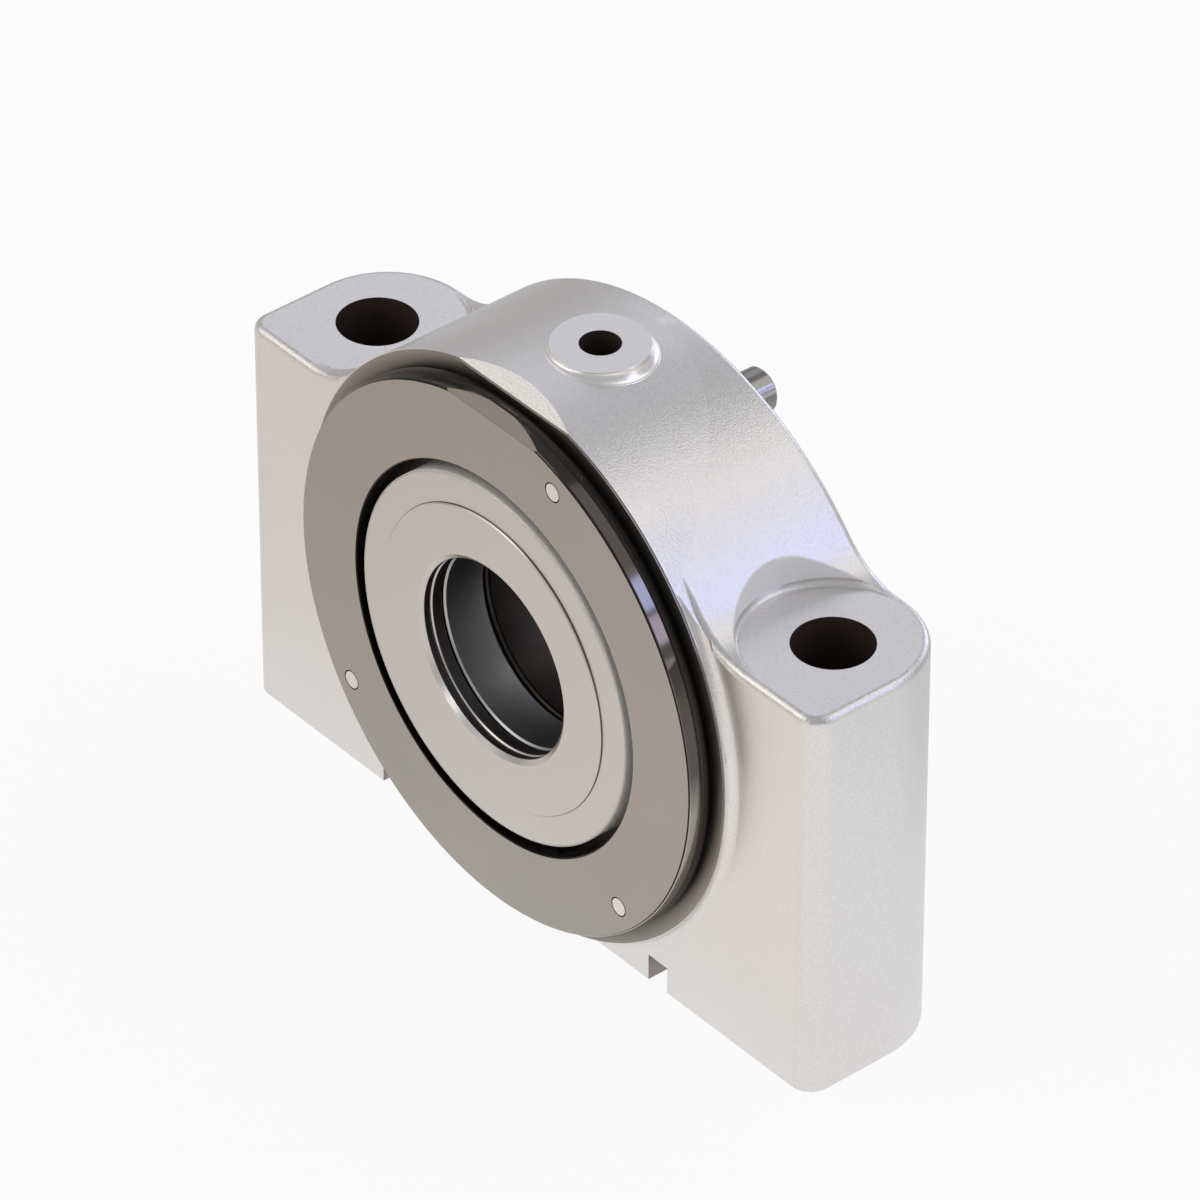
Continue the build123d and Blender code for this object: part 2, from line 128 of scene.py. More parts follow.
def castFinish():
    look = castLook
    milled, holes, seat = look["milled"], look["holes"], look["seat"]
    slots, paintedLightWall, rim = look["slots"], look["paintedLightWall"], look["rim"]
    finish, tree, shader, place = newFinish("blastedCasting", 1.0, look)
    patches = addNode(
        tree, "ShaderNodeTexNoise", {"Vector": place, "Scale": 1 / look["patch"], "Detail": 2.0}, "Fac"
    )
    grain = addNode(
        tree, "ShaderNodeTexNoise", {"Vector": place, "Scale": 1 / look["grain"], "Detail": 2.0}, "Fac"
    )
    low = addNode(
        tree,
        "ShaderNodeMapRange",
        {
            "Value": grain,
            "From Min": look["pitSpan"][0],
            "From Max": look["pitSpan"][1],
            "To Max": look["pitShare"],
        },
        0,
    )

    # how far a point is from the nearer bolt's line and from the port's line
    x, y, z = addNode(tree, "ShaderNodeSeparateXYZ", {0: place}).outputs
    side = addNode(tree, "ShaderNodeMath", {"operation": "ABSOLUTE", 0: x}, 0)
    offset = addNode(tree, "ShaderNodeMath", {"operation": "SUBTRACT", 0: side, 1: holesAcross}, 0)
    fromLine = {}
    for line, across in (("bolt", offset), ("port", x)):
        spot = addNode(tree, "ShaderNodeCombineXYZ", {"X": across, "Y": y}, 0)
        fromLine[line] = addNode(
            tree, "ShaderNodeVectorMath", {"operation": "LENGTH", 0: spot}, "Value"
        )
    normal = addNode(tree, "ShaderNodeNewGeometry", {}, "Normal")
    facing = addNode(tree, "ShaderNodeSeparateXYZ", {0: normal}).outputs
    forward = addNode(
        tree, "ShaderNodeMath", {"operation": "MULTIPLY", 0: facing["Y"], 1: facing["Y"]}, 0
    )

    # masks: 1 where the test holds, else 0
    mask = {}
    for name, test, value, limit, reach in (
        ("bolt", "LESS_THAN", fromLine["bolt"], holes["radius"], 0),
        ("port", "LESS_THAN", fromLine["port"], holes["port"], 0),
        ("nearShaft", "LESS_THAN", shaftDistance(tree, place), seat["radius"], 0),
        ("ahead", "LESS_THAN", y, seat["back"], 0),
        ("nearWall", "COMPARE", fromLine["bolt"], paintedLightWall["radius"], paintedLightWall["reach"]),
        ("nearRim", "COMPARE", fromLine["bolt"], rim["radius"], rim["reach"]),
        ("above", "GREATER_THAN", z, rim["above"], 0),
        ("nearSlot", "COMPARE", side, slots["across"], slots["half"]),
        ("below", "LESS_THAN", z, slots["height"], 0),
        ("front", "COMPARE", forward, 1.0, milled["front"]),
        ("top", "COMPARE", facing["Z"], 1.0, milled["top"]),
    ):
        mask[name] = addNode(
            tree, "ShaderNodeMath", {"operation": test, 0: value, 1: limit, 2: reach}, 0
        )
    for name, join, first, second in (
        ("hole", "MAXIMUM", "bolt", "port"),
        ("seat", "MULTIPLY", "nearShaft", "ahead"),
        ("holeShade", "MAXIMUM", "hole", "seat"),
        ("paintedLightWall", "MULTIPLY", "nearWall", "above"),
        ("rim", "MULTIPLY", "nearRim", "above"),
        ("slot", "MULTIPLY", "nearSlot", "below"),
        ("milled", "MAXIMUM", "front", "top"),
    ):
        mask[name] = addNode(
            tree, "ShaderNodeMath", {"operation": join, 0: mask[first], 1: mask[second]}, 0
        )

    skin = addNode(
        tree,
        "ShaderNodeMix",
        {"data_type": "RGBA", 0: patches, 6: linear(look["colour"]), 7: linear(look["shade"])},
        2,
    )
    for share, over in (
        (low, look["pits"]),
        # painted light on the spot-face walls
        (mask["paintedLightWall"], paintedLightWall["colour"]),
        # painted shadow in the slots
        (mask["slot"], slots["colour"]),
        # painted shade in the holes and the seat
        (mask["holeShade"], look["holeShade"]),
    ):
        skin = addNode(
            tree, "ShaderNodeMix", {"data_type": "RGBA", 0: share, 6: skin, 7: linear(over)}, 2
        )
    tree.links.new(skin, shader.inputs["Base Color"])
    # no metal in the holes and the seat, under their painted shade
    metal = addNode(
        tree, "ShaderNodeMapRange", {"Value": mask["holeShade"], "To Min": 1.0, "To Max": 0.0}, 0
    )
    tree.links.new(metal, shader.inputs["Metallic"])

    rough = addNode(
        tree,
        "ShaderNodeMapRange",
        {
            "Value": grain,
            "To Min": look["roughness"] - look["roughSpan"],
            "To Max": look["roughness"] + look["roughSpan"],
        },
        0,
    )
    for share, over in ((mask["milled"], milled["roughness"]), (mask["paintedLightWall"], paintedLightWall["roughness"])):
        rough = addNode(tree, "ShaderNodeMix", {0: share, 2: rough, 3: over}, 0)
    tree.links.new(rough, shader.inputs["Roughness"])

    # grain on the cast skin, the cutter's marks on the milled faces
    stretched = addNode(
        tree,
        "ShaderNodeVectorMath",
        {"operation": "MULTIPLY", 0: place, 1: (look["millFeed"] / look["millLength"], 1, 1)},
        0,
    )
    marks = addNode(
        tree,
        "ShaderNodeTexNoise",
        {"Vector": stretched, "Scale": 1 / look["millFeed"], "Detail": 1.0},
        "Fac",
    )
    height = addNode(tree, "ShaderNodeMix", {0: mask["milled"], 2: grain, 3: marks}, 0)
    strength = addNode(
        tree,
        "ShaderNodeMapRange",
        {"Value": mask["milled"], "To Min": look["grainStrength"], "To Max": milled["strength"]},
        0,
    )
    broken = addNode(tree, "ShaderNodeBevel", {"samples": 6, "Radius": rim["round"]}, 0)
    edgeNormal = addNode(
        tree, "ShaderNodeMix", {"data_type": "VECTOR", 0: mask["rim"], 4: normal, 5: broken}, 1
    )
    bump = addNode(
        tree,
        "ShaderNodeBump",
        {"Distance": look["grainDepth"], "Height": height, "Strength": strength, "Normal": edgeNormal},
        0,
    )
    tree.links.new(bump, shader.inputs["Normal"])
    return finish


# Plain steel off a lathe or a grinder: circles round the shaft line that are finer than a pixel,
# so they are drawn a little coarser and very shallow.
turnedLooks = {
    # the bearing's inner ring, painted dark as painted shade deep in the bore
    "paintedShadeRaceSteel": {
        "colour": "#3b3733", "roughness": 0.34, "pitch": 0.4 * mm, "depth": 0.001 * mm
    },
    # the bearing's outer ring, painted dark brown as painted shade deep in the bore
    "paintedShadeBearingSteel": {
        "colour": "#6a6158", "roughness": 0.08, "pitch": 0.4 * mm, "depth": 0.001 * mm
    },
    "hardenedSleeveSteel": {
        "colour": "#b3b3b4", "roughness": 0.34, "pitch": 0.5 * mm, "depth": 0.001 * mm
    },
    "pressedZincSteel": {
        "colour": "#a9a8a6", "roughness": 0.4, "pitch": 1.5 * mm, "depth": 0.003 * mm
    },
    "oiledSpringSteel": {
        "colour": "#4c4b4b", "roughness": 0.35, "pitch": 0.8 * mm, "depth": 0.002 * mm
    },
    "polishedPinSteel": {
        "colour": "#94928f", "roughness": 0.2, "pitch": 0.5 * mm, "depth": 0.001 * mm
    },
}
turnedMarks = {"strength": 0.4, "roughSpan": 0.03}


# Turned marks round the shaft line, as a bump and a slight change of roughness
def addTurnedMarks(tree, shader, look, place):
    rings = addNode(
        tree,
        "ShaderNodeTexNoise",
        {
            "noise_dimensions": "1D",
            "W": shaftDistance(tree, place),
            "Scale": 1 / look["pitch"],
            "Detail": 3.0,
        },
        "Fac",
    )
    bump = addNode(
        tree,
        "ShaderNodeBump",
        {"Strength": turnedMarks["strength"], "Distance": look["depth"], "Height": rings},
    )
    tree.links.new(bump.outputs[0], shader.inputs["Normal"])
    rough = addNode(
        tree,
        "ShaderNodeMapRange",
        {
            "Value": rings,
            "To Min": look["roughness"] - turnedMarks["roughSpan"],
            "To Max": look["roughness"] + turnedMarks["roughSpan"],
        },
        0,
    )
    tree.links.new(rough, shader.inputs["Roughness"])
    return bump, rough


def turnedFinish(name):
    finish, tree, shader, place = newFinish(name, 1.0, turnedLooks[name])
    addTurnedMarks(tree, shader, turnedLooks[name], place)
    return finish


# Blackened steel with a ground face: brown grey in front, with a black line where the grinding
# stops. The rim is polished, painted lighter low down as painted light and darker at the top as
# painted shade, and the groove behind it is dull and painted darker towards its floor as painted shade.
ringLook = {
    "colour": "#a7a09b",
    "shade": "#9d9d96",  # slow change of tint over the ground face
    "patch": 22 * mm,
    "roughness": 0.24,
    "pitch": 0.6 * mm,
    "depth": 0.002 * mm,
    # how far back along the shaft the face, its black edge and the rim go
    "faceBack": -28.97 * mm,
    "edgeBack": -28.72 * mm,
    "rimBack": -25.95 * mm,
    "edge": "#2e2b28",
    "rim": "#66625d",
    "rimRoughness": 0.1,
    "rimPaintedLight": "#aaa5a0",  # painted light: the rim is lighter on its lower half
    "rimPaintedLightSpan": (60 * mm, 70 * mm),  # heights between which one turns into the other
    "rimPaintedShade": "#4a4642",  # painted shade: and darkest at the top, beside the flat
    "rimPaintedShadeSpan": (107.5 * mm, 110.5 * mm),
    # the groove, from its floor out to the edge of the lip, darkest near the floor as painted shade
    "groovePaintedShadeSpan": (61 * mm, 66.15 * mm),
    "groovePaintedShade": [
        (0.0, "#4a4642"),
        (0.06, "#2e2b29"),
        (0.17, "#3b3735"),
        (0.33, "#5a5652"),
        (0.56, "#74706a"),
        (0.8, "#85817b"),
        (1.0, "#938e8a"),
    ],
    "grooveRoughness": 0.36,
    "boreRadius": 44.6 * mm,
    "bore": "#1d1a18",  # black wall in the gap round the hub
    # the sloping flat, milled through the black, told by its normal
    "flat": "#7d7771",
    "flatNormal": (0, -0.5145, 0.8575),
    "flatNear": 0.999,
}


def ringFinish():
    look = ringLook
    finish, tree, shader, place = newFinish("blackenedGroundSteel", 1.0, look)
    marked = addTurnedMarks(tree, shader, look, place)[1]
    y, z = addNode(tree, "ShaderNodeSeparateXYZ", {0: place}).outputs[1:]
    radius = shaftDistance(tree, place)
    normal = addNode(tree, "ShaderNodeNewGeometry", {}, "Normal")
    lean = addNode(
        tree,
        "ShaderNodeVectorMath",
        {"operation": "DOT_PRODUCT", 0: normal, 1: look["flatNormal"]},
        "Value",
    )
    mask = {}
    for name, test, value, limit in (
        ("behindFace", "GREATER_THAN", y, look["faceBack"]),
        ("behindEdge", "GREATER_THAN", y, look["edgeBack"]),
        ("behindRim", "GREATER_THAN", y, look["rimBack"]),
        ("inside", "LESS_THAN", radius, look["boreRadius"]),
        ("flat", "GREATER_THAN", lean, look["flatNear"]),
    ):
        mask[name] = addNode(tree, "ShaderNodeMath", {"operation": test, 0: value, 1: limit}, 0)
    mask["bore"] = addNode(
        tree, "ShaderNodeMath", {"operation": "MULTIPLY", 0: mask["inside"], 1: mask["behindFace"]}, 0
    )
    along = {}
    for name, value in (("rimPaintedLightSpan", z), ("rimPaintedShadeSpan", z), ("groovePaintedShadeSpan", radius)):
        start, end = look[name]
        along[name] = addNode(
            tree, "ShaderNodeMapRange", {"Value": value, "From Min": start, "From Max": end}, 0
        )

    patches = addNode(
        tree, "ShaderNodeTexNoise", {"Vector": place, "Scale": 1 / look["patch"], "Detail": 1.0}, "Fac"
    )
    rim = addNode(
        tree,
        "ShaderNodeMix",
        {
            "data_type": "RGBA",
            0: along["rimPaintedLightSpan"],
            6: linear(look["rimPaintedLight"]),
            7: linear(look["rim"]),
        },
        2,
    )
    rim = addNode(
        tree,
        "ShaderNodeMix",
        {"data_type": "RGBA", 0: along["rimPaintedShadeSpan"], 6: rim, 7: linear(look["rimPaintedShade"])},
        2,
    )
    groovePaintedShade = addNode(
        tree, "ShaderNodeValToRGB", {"Fac": along["groovePaintedShadeSpan"], "stops": look["groovePaintedShade"]}, "Color"
    )
    colour = addNode(
        tree,
        "ShaderNodeMix",
        {"data_type": "RGBA", 0: patches, 6: linear(look["colour"]), 7: linear(look["shade"])},
        2,
    )
    for share, over in (
        (mask["behindFace"], linear(look["edge"])),
        # painted light and shade on the rim, by height
        (mask["behindEdge"], rim),
        # painted shade in the groove
        (mask["behindRim"], groovePaintedShade),
        (mask["bore"], linear(look["bore"])),
        (mask["flat"], linear(look["flat"])),
    ):
        colour = addNode(
            tree, "ShaderNodeMix", {"data_type": "RGBA", 0: share, 6: colour, 7: over}, 2
        )
    tree.links.new(colour, shader.inputs["Base Color"])

    behind = addNode(
        tree,
        "ShaderNodeMapRange",
        {
            "Value": mask["behindRim"],
            "To Min": look["rimRoughness"],
            "To Max": look["grooveRoughness"],
        },
        0,
    )
    rough = addNode(tree, "ShaderNodeMix", {0: mask["behindEdge"], 2: marked, 3: behind}, 0)
    tree.links.new(rough, shader.inputs["Roughness"])
    return finish


# Fine turned steel: the hub is bright in front. Its outer wall in the gap is left off the tool,
# rough, and painted lighter as painted light, and the shaft hole is painted dark as painted shade.
hubLook = {
    "colour": "#c9c7c4",
    "roughness": 0.3,
    "pitch": 0.5 * mm,
    "depth": 0.002 * mm,
    # painted shade in the shaft hole
    "bore": "#928e8b",
    "boreRadius": 22.56 * mm,
    # painted light on the outer wall in the gap
    "paintedLightWall": "#f2f0ec",
    "wallRadius": 41.9 * mm,
    "wallRoughness": 0.95,
    "seam": "#7d7873",  # the fine line where the insert sits in the disc
    "seamRadius": 35.1 * mm,
    "seamHalf": 0.085 * mm,
    # the rings' chamfers at the joints inside, dark but for their bright inner edge
    "joint": "#4a4744",
    "jointFront": -27.6 * mm,
    "jointRadius": 23.4 * mm,
    "jointHalf": 0.6 * mm,
    "edgeRadius": 40.6 * mm,  # from here out the disc's edge is rounded off
    "edgeRound": 1.2 * mm,
}


def hubFinish():
    look = hubLook
    finish, tree, shader, place = newFinish("fineTurnedSteel", 1.0, look)
    bump, marked = addTurnedMarks(tree, shader, look, place)
    radius = shaftDistance(tree, place)
    y = addNode(tree, "ShaderNodeSeparateXYZ", {0: place}, "Y")
    mask = {}
    for name, test, value, limit, reach in (
        ("seam", "COMPARE", radius, look["seamRadius"], look["seamHalf"]),
        ("bore", "LESS_THAN", radius, look["boreRadius"], 0),
        ("paintedLightWall", "GREATER_THAN", radius, look["wallRadius"], 0),
        ("deep", "GREATER_THAN", y, look["jointFront"], 0),
        ("chamfer", "COMPARE", radius, look["jointRadius"], look["jointHalf"]),
        ("edge", "GREATER_THAN", radius, look["edgeRadius"], 0),
    ):
        mask[name] = addNode(
            tree, "ShaderNodeMath", {"operation": test, 0: value, 1: limit, 2: reach}, 0
        )
    mask["joint"] = addNode(
        tree, "ShaderNodeMath", {"operation": "MULTIPLY", 0: mask["deep"], 1: mask["chamfer"]}, 0
    )
    colour = addNode(
        tree,
        "ShaderNodeMix",
        {"data_type": "RGBA", 0: mask["seam"], 6: linear(look["colour"]), 7: linear(look["seam"])},
        2,
    )
    for name in ("bore", "paintedLightWall", "joint"):
        colour = addNode(
            tree,
            "ShaderNodeMix",
            {"data_type": "RGBA", 0: mask[name], 6: colour, 7: linear(look[name])},
            2,
        )
    tree.links.new(colour, shader.inputs["Base Color"])
    rough = addNode(
        tree, "ShaderNodeMix", {0: mask["paintedLightWall"], 2: marked, 3: look["wallRoughness"]}, 0
    )
    tree.links.new(rough, shader.inputs["Roughness"])

    normal = addNode(tree, "ShaderNodeNewGeometry", {}, "Normal")
    rounded = addNode(tree, "ShaderNodeBevel", {"samples": 6, "Radius": look["edgeRound"]}, 0)
    edgeNormal = addNode(
        tree, "ShaderNodeMix", {"data_type": "VECTOR", 0: mask["edge"], 4: normal, 5: rounded}, 1
    )
    tree.links.new(edgeNormal, bump.inputs["Normal"])
    return finish


# Ground dowel steel: flush with the ring and bright, the small end chamfers still black
dowelLook = {
    "colour": "#e2ddd6",
    "edge": "#55514c",
    "endNear": 0.05,  # how near to straight forward the normal of an end face is
    "roughness": 0.3,
    "pitch": 0.4 * mm,
    "depth": 0.001 * mm,
}


def dowelFinish():
    look = dowelLook
    finish, tree, shader, place = newFinish("groundDowelSteel", 1.0, look)
    addTurnedMarks(tree, shader, look, place)
    normal = addNode(tree, "ShaderNodeNewGeometry", {}, "Normal")
    facing = addNode(tree, "ShaderNodeSeparateXYZ", {0: normal}, "Y")
    onFace = addNode(
        tree, "ShaderNodeMath", {"operation": "COMPARE", 0: facing, 1: -1.0, 2: look["endNear"]}, 0
    )
    colour = addNode(
        tree,
        "ShaderNodeMix",
        {"data_type": "RGBA", 0: onFace, 6: linear(look["edge"]), 7: linear(look["colour"])},
        2,
    )
    tree.links.new(colour, shader.inputs["Base Color"])
    return finish


# Nylon cages and nitrile rubber lips, both inside: matt mould skin with a slight mottle.
mouldedLooks = {
    "mouldedNylon": {
        "colour": "#cbb98d", "shade": "#b9a67a", "roughness": 0.5, "ior": 1.52, "mottle": 2.0 * mm
    },
    "nitrileRubber": {
        "colour": "#1c1b1b", "shade": "#262524", "roughness": 0.62, "ior": 1.52, "mottle": 1.2 * mm
    },
}


def mouldedFinish(name):
    look = mouldedLooks[name]
    finish, tree, shader, place = newFinish(name, 0.0, look)
    shader.inputs["IOR"].default_value = look["ior"]
    mottle = addNode(
        tree, "ShaderNodeTexNoise", {"Vector": place, "Scale": 1 / look["mottle"], "Detail": 2.0}, "Fac"
    )
    colour = addNode(
        tree,
        "ShaderNodeMix",
        {"data_type": "RGBA", 0: mottle, 6: linear(look["colour"]), 7: linear(look["shade"])},
        2,
    )
    tree.links.new(colour, shader.inputs["Base Color"])
    return finish


# Which finish each node takes
finishOf = {
    "housing": "blastedCasting",
    "grooved_ring": "blackenedGroundSteel",
    "ring_pins": "groundDowelSteel",
    "rear_pin": "polishedPinSteel",
    "outer_race": "paintedShadeBearingSteel",
    "inner_race": "paintedShadeRaceSteel",
    "front_balls": "polishedPinSteel",
    "rear_balls": "polishedPinSteel",
    "front_cage": "mouldedNylon",
    "rear_cage": "mouldedNylon",
    "retaining_ring": "oiledSpringSteel",
    "front_seal_case": "pressedZincSteel",
    "front_seal_lip": "nitrileRubber",
    "front_seal_spring": "oiledSpringSteel",
    "rear_seal_case": "pressedZincSteel",
    "rear_seal_lip": "nitrileRubber",
    "rear_seal_spring": "oiledSpringSteel",
    "hub_disc": "fineTurnedSteel",
    "hub_insert": "fineTurnedSteel",
    "locating_washer": "fineTurnedSteel",
    "front_sleeve": "hardenedSleeveSteel",
    "rear_sleeve": "hardenedSleeveSteel",
}

finishes = {
    "blastedCasting": castFinish(),
    "blackenedGroundSteel": ringFinish(),
    "fineTurnedSteel": hubFinish(),
    "groundDowelSteel": dowelFinish(),
}
for name in turnedLooks:
    finishes[name] = turnedFinish(name)
for name in mouldedLooks:
    finishes[name] = mouldedFinish(name)
for node, finishName in finishOf.items():
    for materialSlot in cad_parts[node].material_slots:
        materialSlot.material = finishes[finishName]
print("finishes on all nodes")


# Form cut steel: the cutter that faced the boss left a smooth foot round it, painted brighter
# than the blasted skin as a painted highlight
footLook = {
    # painted highlight: lighter than the casting's colour
    "colour": "#f6f3ef",
    "roughness": 0.3,
    "grain": 0.5 * mm,
    "depth": 0.02 * mm,
    "strength": 0.4,
}


def footFinish():
    look = footLook
    finish, tree, shader, place = newFinish("paintedHighlightFlareSteel", 1.0, look)
    grain = addNode(
        tree, "ShaderNodeTexNoise", {"Vector": place, "Scale": 1 / look["grain"], "Detail": 2.0}, "Fac"
    )
    bump = addNode(
        tree,
        "ShaderNodeBump",
        {"Strength": look["strength"], "Distance": look["depth"], "Height": grain},
        0,
    )
    tree.links.new(bump, shader.inputs["Normal"])
    return finish


# The hollow sweep between the grease boss and the crown, which the solid has only as a small fillet
flare = {
    "bossRadius": 10.5 * mm,
    "bossTop": 129.97 * mm,
    "width": 1.4 * mm,
    "lean": 0.5 * mm,  # wider on the right by this, narrower on the left
    "sunk": 0.4 * mm,  # how far its hidden side goes into the casting
    "turns": 120,
    "steps": 14,
    # the crown under it: a round about its own centre, and a cone about the shaft that rises to
    # the front, each end given by its place along the shaft and its radius
    "crownCentre": 55.6 * mm,
    "crownRadius": 71.8 * mm,
    "coneFront": (-23 * mm, 66.4 * mm),
    "coneBack": (19.25 * mm, 63.7 * mm),
}


def crownHeight(x, y):
    (frontY, frontRadius), (backY, backRadius) = flare["coneFront"], flare["coneBack"]
    coneRadius = frontRadius + (backRadius - frontRadius) * (y - frontY) / (backY - frontY)
    overCentre = flare["crownCentre"] + math.sqrt(flare["crownRadius"] ** 2 - x * x)
    return max(overCentre, shaftHeight + math.sqrt(coneRadius ** 2 - x * x))


def makeBossFlare():
    bossRadius, bossTop, sunk = flare["bossRadius"], flare["bossTop"], flare["sunk"]
    mesh = bmesh.new()
    rows = []
    for turn in range(flare["turns"]):
        angle = 2 * math.pi * turn / flare["turns"]
        across, along = math.sin(angle), -math.cos(angle)
        width = flare["width"] + flare["lean"] * across
        footRadius = bossRadius + width
        foot = crownHeight(across * footRadius, along * footRadius)
        proud = bossTop - crownHeight(across * bossRadius, along * bossRadius)
        row = []
        for step in range(flare["steps"] + 1):
            turned = math.pi / 2 * step / flare["steps"]
            radius = footRadius - width * math.cos(turned)
            crown = crownHeight(across * radius, along * radius)
            row.append((radius, crown + proud * (1 - math.sin(turned))))
        row.append((footRadius, foot - sunk))
        row.append((bossRadius - sunk, foot - sunk))
        row.append((bossRadius - sunk, bossTop - sunk))
        rows.append([mesh.verts.new((across * r, along * r, height)) for r, height in row])
    for row, following in zip(rows, rows[1:] + rows[:1]):
        for a, b, c, d in zip(row, row[1:] + row[:1], following[1:] + following[:1], following):
            mesh.faces.new((a, b, c, d)).smooth = True
    bmesh.ops.recalc_face_normals(mesh, faces=mesh.faces)
    data = bpy.data.meshes.new("bossFlare")
    mesh.to_mesh(data)
    mesh.free()
    piece = bpy.data.objects.new("bossFlare", data)
    bpy.context.scene.collection.objects.link(piece)
    data.materials.append(footFinish())
    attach(piece, "block")


makeBossFlare()
print("boss flare made")


# Pale floor with a faint shadow, and a studio that is white behind and grey overhead. The metal
# sees the floor a little warm in front and a little cool on the right.
studio = {
    "white": "#ffffff",
    "floor": "#f4f1ed",
    "floorSize": 12.0,
    "floorDrop": 0.02 * mm,  # just under the feet
    "floorGlow": 0.92,  # share of plain white that the camera and the metal see in the floor
    # what the metal sees in the floor, from in front of the block to behind it
    "cardSpan": (-200 * mm, 300 * mm),
    "cards": [
        (0.0, "#fff8f1"),
        (0.26, "#fff8f1"),
        (0.36, "#ffffff"),
        (0.46, "#fafbff"),
        (0.54, "#f8f9ff"),
        (0.62, "#e5e6ea"),
        (1.0, "#cbcac8"),
    ],
    "leftShade": "#efefef",  # what is left of it far to the left
    "leftSpan": (-160 * mm, -20 * mm),
    # a plain white card at the right front corner, along X and along Y
    "cornerSpan": ((84 * mm, 96 * mm), (-19 * mm, -29 * mm)),
    "holeSpot": 13 * mm,  # no glow that near under a bolt hole, so that the hole stays dark
    "skyStops": [
        (0.0, "#efe8de"),
        (0.46, "#d5d4d2"),
        (0.54, "#b4b3b2"),
        (0.72, "#b7b7bb"),
        (1.0, "#aeb0b4"),
    ],
    "skyStrength": 1.0,
}
# Soft boxes: where they stand, how wide, their power in watts and tint
lamps = {
    "topBox": {"at": (0.50, 0.82, 1.34), "wide": 0.82, "power": 1.85, "tint": "#fffcf6"},
    "blueLamp": {"at": (1.05, 0.77, 0.98), "wide": 0.3, "power": 1.25, "tint": "#bac7ff"},
    "roseLamp": {"at": (1.24, 0.77, 0.69), "wide": 0.26, "power": 0.58, "tint": "#e4dcff"},
    "sideCard": {"at": (1.32, 0.76, 0.22), "wide": 0.4, "power": 0.5, "tint": "#ffffff"},
    "leftFill": {"at": (-0.95, -0.75, 1.05), "wide": 1.1, "power": 3.0, "tint": "#fff9ee"},
    "backBox": {"at": (-0.98, 0.82, 1.02), "wide": 0.8, "power": 0.82, "tint": "#eef0ff"},
    "frontStrip": {"at": (0.04, -1.40, 0.51), "wide": 0.28, "power": 0.8, "tint": "#ffffff"},
    "frontKey": {"at": (-0.52, -1.02, 0.96), "wide": 0.55, "power": 1.2, "tint": "#fffdf6"},
    "backWindow": {"at": (-0.30, 1.40, 0.50), "wide": 0.66, "power": 2.4, "tint": "#dde4ff"},
    "rearStrip": {"at": (-0.75, 1.15, 0.26), "wide": 0.35, "power": 0.35, "tint": "#dfe6ff"},
}


def makeFloor():
    bpy.ops.mesh.primitive_plane_add(size=studio["floorSize"], location=(0, 0, -studio["floorDrop"]))
    floor = bpy.context.object
    floor.name = "studioFloor"
    finish = bpy.data.materials.new("studioPaper")
    finish.use_nodes = True
    tree = finish.node_tree
    tree.nodes.clear()
    paper = addNode(tree, "ShaderNodeBsdfDiffuse", {"Color": linear(studio["floor"])}, 0)
    place = addNode(tree, "ShaderNodeTexCoord", {}, "Object")
    spot = addNode(tree, "ShaderNodeSeparateXYZ", {0: place}).outputs
    ray = addNode(tree, "ShaderNodeLightPath", {}).outputs
    white = linear(studio["white"])

    # what the metal sees: a warm card in front, a cool one beside the block, grey behind it
    reach = {}
    for name, axis, (start, end) in (
        ("cards", "Y", studio["cardSpan"]),
        ("left", "X", studio["leftSpan"]),
        ("cornerX", "X", studio["cornerSpan"][0]),
        ("cornerY", "Y", studio["cornerSpan"][1]),
    ):
        reach[name] = addNode(
            tree, "ShaderNodeMapRange", {"Value": spot[axis], "From Min": start, "From Max": end}, 0
        )
    cards = addNode(
        tree, "ShaderNodeValToRGB", {"Fac": reach["cards"], "stops": studio["cards"]}, "Color"
    )
    shade = addNode(
        tree,
        "ShaderNodeMix",
        {"data_type": "RGBA", 0: reach["left"], 6: linear(studio["leftShade"]), 7: white},
        2,
    )
    cards = addNode(
        tree,
        "ShaderNodeMix",
        {"data_type": "RGBA", "blend_type": "MULTIPLY", 0: 1.0, 6: cards, 7: shade},
        2,
    )
    corner = addNode(
        tree, "ShaderNodeMath", {"operation": "MULTIPLY", 0: reach["cornerX"], 1: reach["cornerY"]}, 0
    )
    cards = addNode(tree, "ShaderNodeMix", {"data_type": "RGBA", 0: corner, 6: cards, 7: white}, 2)
    tone = addNode(
        tree,
        "ShaderNodeMix",
        {"data_type": "RGBA", 0: ray["Is Glossy Ray"], 6: white, 7: cards},
        2,
    )
    glow = addNode(tree, "ShaderNodeEmission", {"Strength": 1.0, "Color": tone}, 0)

    # the glow is for the camera and the metal only, and not under the bolt holes
    side = addNode(tree, "ShaderNodeMath", {"operation": "ABSOLUTE", 0: spot["X"]}, 0)
    offset = addNode(tree, "ShaderNodeMath", {"operation": "SUBTRACT", 0: side, 1: holesAcross}, 0)
    fromHole = addNode(tree, "ShaderNodeCombineXYZ", {"X": offset, "Y": spot["Y"]}, 0)
    far = addNode(tree, "ShaderNodeVectorMath", {"operation": "LENGTH", 0: fromHole}, "Value")
    clear = addNode(
        tree, "ShaderNodeMath", {"operation": "GREATER_THAN", 0: far, 1: studio["holeSpot"]}, 0
    )
    seen = addNode(
        tree,
        "ShaderNodeMath",
        {"operation": "MAXIMUM", 0: ray["Is Camera Ray"], 1: ray["Is Glossy Ray"]},
        0,
    )
    share = addNode(
        tree, "ShaderNodeMath", {"operation": "MULTIPLY", 0: seen, 1: studio["floorGlow"]}, 0
    )
    share = addNode(tree, "ShaderNodeMath", {"operation": "MULTIPLY", 0: share, 1: clear}, 0)
    both = addNode(tree, "ShaderNodeMixShader", {0: share, 1: paper, 2: glow}, 0)
    addNode(tree, "ShaderNodeOutputMaterial", {"Surface": both})
    floor.data.materials.append(finish)


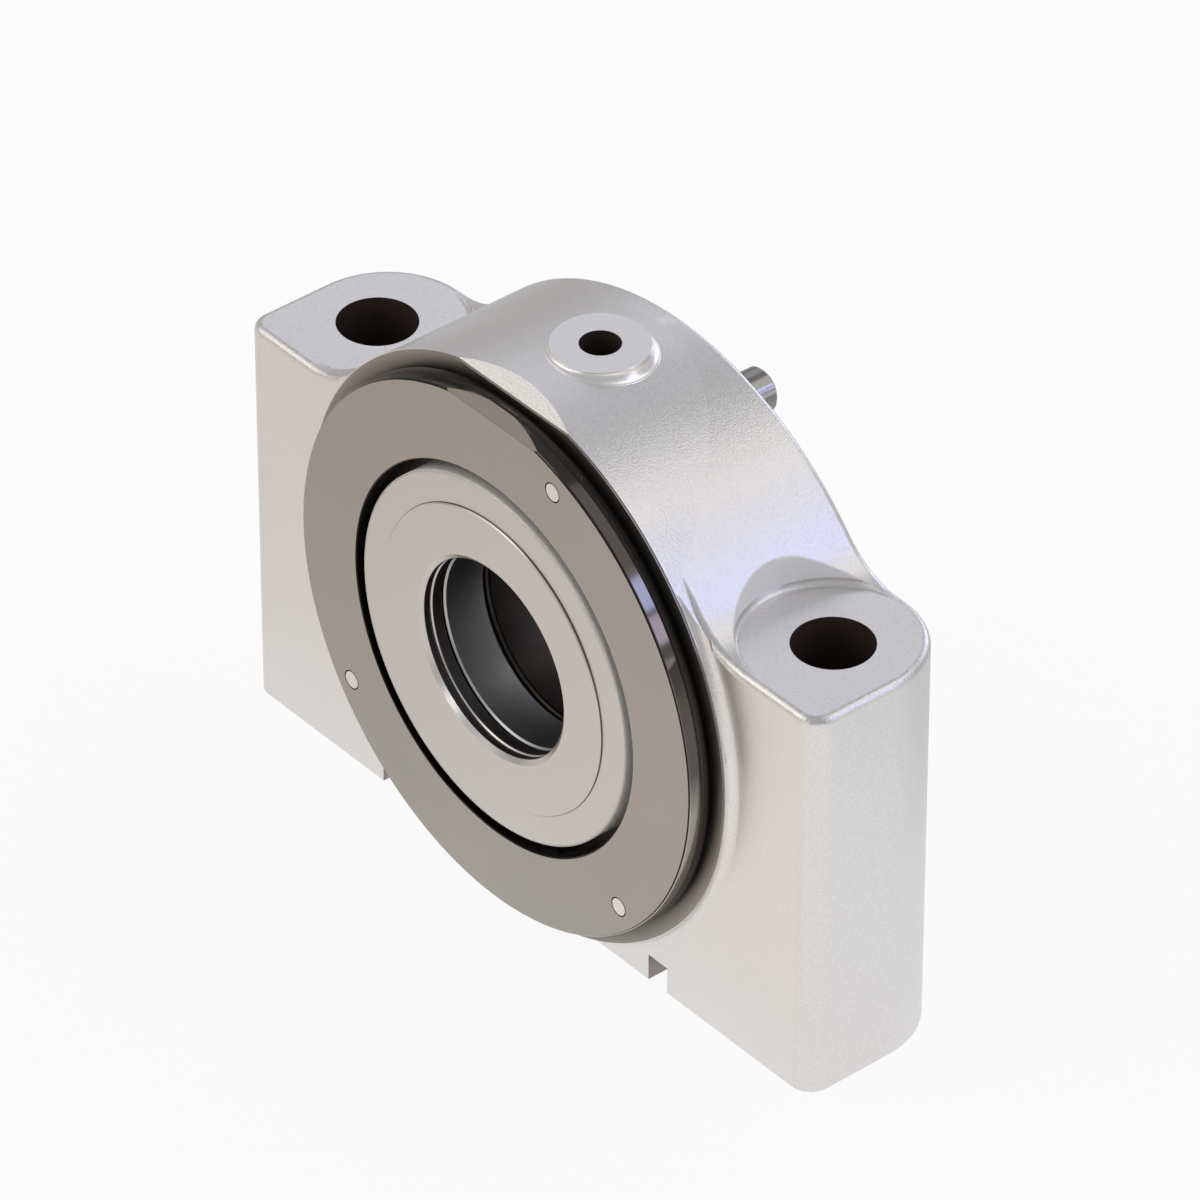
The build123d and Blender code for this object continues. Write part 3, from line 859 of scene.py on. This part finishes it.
def makeSky():
    sky = bpy.data.worlds.new("studioSky")
    bpy.context.scene.world = sky
    sky.use_nodes = True
    tree = sky.node_tree
    tree.nodes.clear()
    direction = addNode(tree, "ShaderNodeTexCoord", {}, "Generated")
    up = addNode(tree, "ShaderNodeSeparateXYZ", {0: direction}, "Z")
    height = addNode(tree, "ShaderNodeMapRange", {"Value": up, "From Min": -1.0, "From Max": 1.0}, 0)
    tint = addNode(tree, "ShaderNodeValToRGB", {"Fac": height, "stops": studio["skyStops"]}, "Color")
    light = addNode(
        tree, "ShaderNodeBackground", {"Color": tint, "Strength": studio["skyStrength"]}, 0
    )
    white = addNode(
        tree, "ShaderNodeBackground", {"Color": linear(studio["white"]), "Strength": 1.0}, 0
    )
    toCamera = addNode(tree, "ShaderNodeLightPath", {}, "Is Camera Ray")
    both = addNode(tree, "ShaderNodeMixShader", {0: toCamera, 1: light, 2: white}, 0)
    addNode(tree, "ShaderNodeOutputWorld", {"Surface": both})


def makeLamps():
    aim = Vector((0, 0, shaftHeight))
    for name, lamp in lamps.items():
        light = bpy.data.lights.new(name, "AREA")
        light.shape = "SQUARE"
        light.size = lamp["wide"]
        light.energy = lamp["power"]
        light.color = linear(lamp["tint"])[:3]
        box = bpy.data.objects.new(name, light)
        bpy.context.scene.collection.objects.link(box)
        box.location = lamp["at"]
        box.rotation_euler = (aim - box.location).to_track_quat("-Z", "Y").to_euler()


# The camera of the photograph, solved from the edges of the block; angles in degrees
shot = {
    "lens": 296.1,
    "sensor": 36.0,
    "at": (1.24593, -1.04737, 1.29389),
    "down": 37.059,
    "around": 49.951,
    "nearest": 0.05,
    "farthest": 50.0,
}


def makeCamera():
    data = bpy.data.cameras.new("photoCamera")
    data.lens = shot["lens"]
    data.sensor_width = shot["sensor"]
    data.clip_start, data.clip_end = shot["nearest"], shot["farthest"]
    camera = bpy.data.objects.new("photoCamera", data)
    bpy.context.scene.collection.objects.link(camera)
    camera.location = shot["at"]
    camera.rotation_euler = (math.radians(90 - shot["down"]), 0, math.radians(shot["around"]))
    bpy.context.scene.camera = camera


makeFloor()
makeSky()
makeLamps()
makeCamera()
bpy.context.scene.view_settings.view_transform = "Standard"
print("floor, sky, lamps and camera made")
